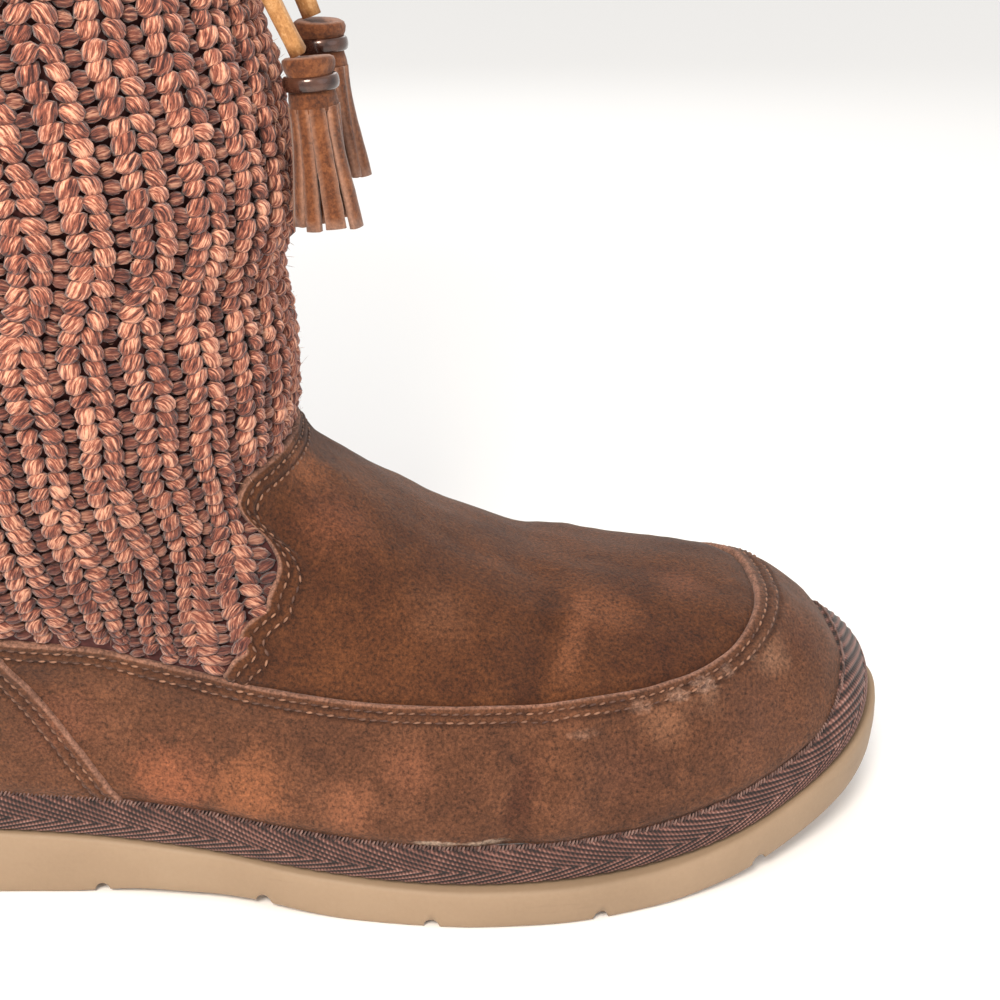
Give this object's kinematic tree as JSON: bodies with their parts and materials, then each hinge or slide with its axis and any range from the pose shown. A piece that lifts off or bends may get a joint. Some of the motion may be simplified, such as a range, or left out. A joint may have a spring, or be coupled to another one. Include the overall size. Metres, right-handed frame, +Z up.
{
  "type": "mukluk boot",
  "caption": "Tall mukluk boot with a rib-knit shaft, moccasin-style suede foot, twill binding tape, flat foam sole and a tied leather thong with tassels.",
  "frame": {"origin": "on the floor, at the middle of the flat underside of the heel", "axes": "+X towards the toe, +Y towards the inner side of the foot, +Z up the shaft"},
  "size_m": [0.2847, 0.121, 0.34],
  "materials": {
    "eva_foam": "matt tan moulded foam",
    "fleece": "pale fleece",
    "lined_wall": "soft lined wall",
    "suede": "mottled brown suede",
    "twill": "herringbone twill",
    "knit": "chunky melange rib knit",
    "thong_leather": "light tan thong",
    "tassel_suede": "brown suede strips",
    "horn": "dark glossy clip"
  },
  "bodies": {
    "root": {"outsole": "eva_foam", "insole": "fleece", "upper": "lined_wall", "vamp_plug": "suede", "foxing": "suede", "heel_counter": "suede", "binding_tape": "twill", "knit_shaft": "knit", "collar_thong": "thong_leather", "thong_knot": "thong_leather", "thong_end_front": "thong_leather", "thong_end_side": "thong_leather", "tassel_front": "tassel_suede", "tassel_side": "tassel_suede", "clip_front": "horn", "clip_side": "horn"}
  },
  "joints": []
}
